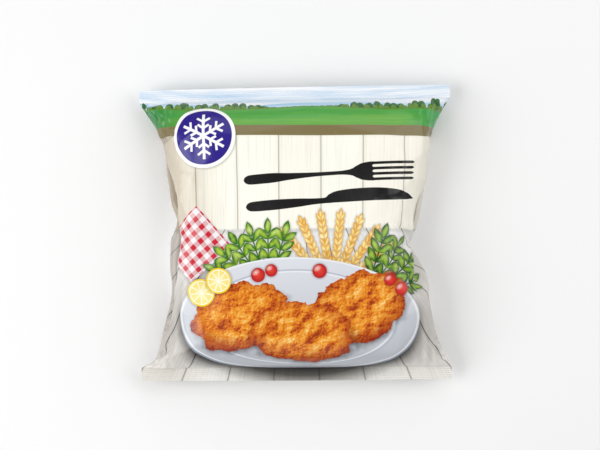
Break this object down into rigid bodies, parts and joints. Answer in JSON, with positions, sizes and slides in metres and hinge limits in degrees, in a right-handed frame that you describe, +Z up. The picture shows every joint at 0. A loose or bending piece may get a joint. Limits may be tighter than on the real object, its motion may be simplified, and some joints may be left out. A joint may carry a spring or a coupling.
{
  "type": "frozen food pillow bag",
  "caption": "Filled and sealed plastic film pillow bag of frozen breaded cutlets, lying on its back, with a crimped seal across each end.",
  "frame": {"origin": "on the surface that the bag lies on, under the middle of the bag's box", "axes": "+X towards the printed front's right side, +Y towards its upper seal, +Z up out of the printed front"},
  "size_m": [0.2912, 0.277, 0.0655],
  "materials": {
    "printed_film": "opaque white film printed in cream, green, brown and gold, satin gloss"
  },
  "bodies": {
    "root": {"pillow_pack": "printed_film"}
  },
  "joints": []
}
